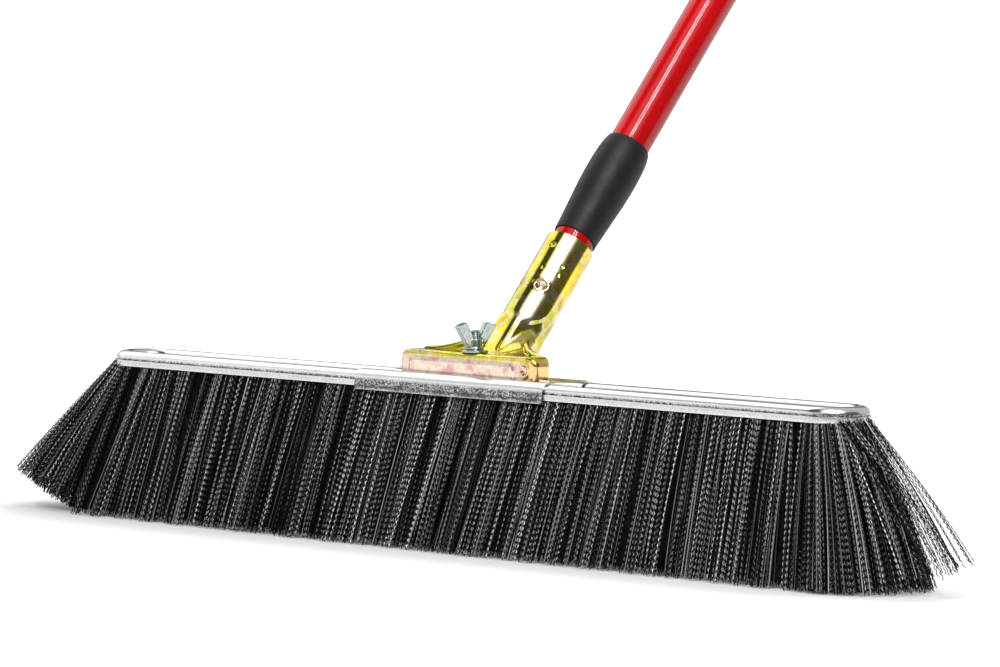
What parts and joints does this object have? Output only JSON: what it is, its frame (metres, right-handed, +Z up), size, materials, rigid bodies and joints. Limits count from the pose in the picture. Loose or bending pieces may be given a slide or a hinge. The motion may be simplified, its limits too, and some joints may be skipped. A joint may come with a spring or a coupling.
{
  "type": "push broom",
  "caption": "Push broom with a long strip-brush head in a looped sheet channel, a stamped clamp bracket with a wing nut, and a straight screw-in handle with a hanging cap.",
  "frame": {"origin": "on the floor, under the middle of the brush head", "axes": "+X along the head's long side, +Y towards the person sweeping (the handle leans back this way), +Z up"},
  "size_m": [0.79, 1.0825, 1.3264],
  "materials": {
    "galvanised_sheet": "mottled galvanised sheet, satin",
    "steel_wire": "drawn wire",
    "black_filament": "loosely packed crimped filaments, satin",
    "yellow_zinc": "iridescent yellow passivated zinc",
    "bright_zinc": "bright zinc plating",
    "natural_nylon": "moulded",
    "black_nylon": "moulded",
    "red_paint": "glossy powder coat",
    "black_rubber": "satin moulded rubber",
    "black_cap": "moulded, slightly glossy"
  },
  "bodies": {
    "head": {"brush_channel": "galvanised_sheet", "core_wire": "steel_wire", "front_bristles": "black_filament", "rear_bristles": "black_filament", "left_end_bristles": "black_filament", "right_end_bristles": "black_filament", "saddle_plate": "galvanised_sheet", "carriage_bolt": "bright_zinc", "socket_bracket": "yellow_zinc", "threaded_insert": "natural_nylon"},
    "washer": {"flat_washer": "bright_zinc"},
    "nut": {"wing_nut": "bright_zinc"},
    "sleeve": {"grip_sleeve": "black_rubber"},
    "handle": {"handle_tube": "red_paint", "threaded_tip": "black_nylon", "end_cap": "black_cap"}
  },
  "joints": [
    {"name": "nut_travel", "type": "slide", "parent": "head", "child": "washer", "axis": [0, 0, 1], "range_m": [0, 0.00762]},
    {"name": "nut_turn", "type": "hinge", "parent": "washer", "child": "nut", "pos_m": [0, 0, 0.12], "axis": [0, 0, 1], "range_deg": [0, 2160]},
    {"name": "handle_travel", "type": "slide", "parent": "head", "child": "sleeve", "axis": [0, 0.6401, 0.7683], "range_m": [0, 0.02286]},
    {"name": "handle_turn", "type": "hinge", "parent": "sleeve", "child": "handle", "pos_m": [0, 0.0184, 0.1032], "axis": [0, 0.6401, 0.7683], "range_deg": [0, 1620]}
  ],
  "couplings": [
    {"joint": "nut_turn", "follows": "nut_travel", "rad_per_m": 4947.4},
    {"joint": "handle_turn", "follows": "handle_travel", "rad_per_m": 1236.8}
  ]
}
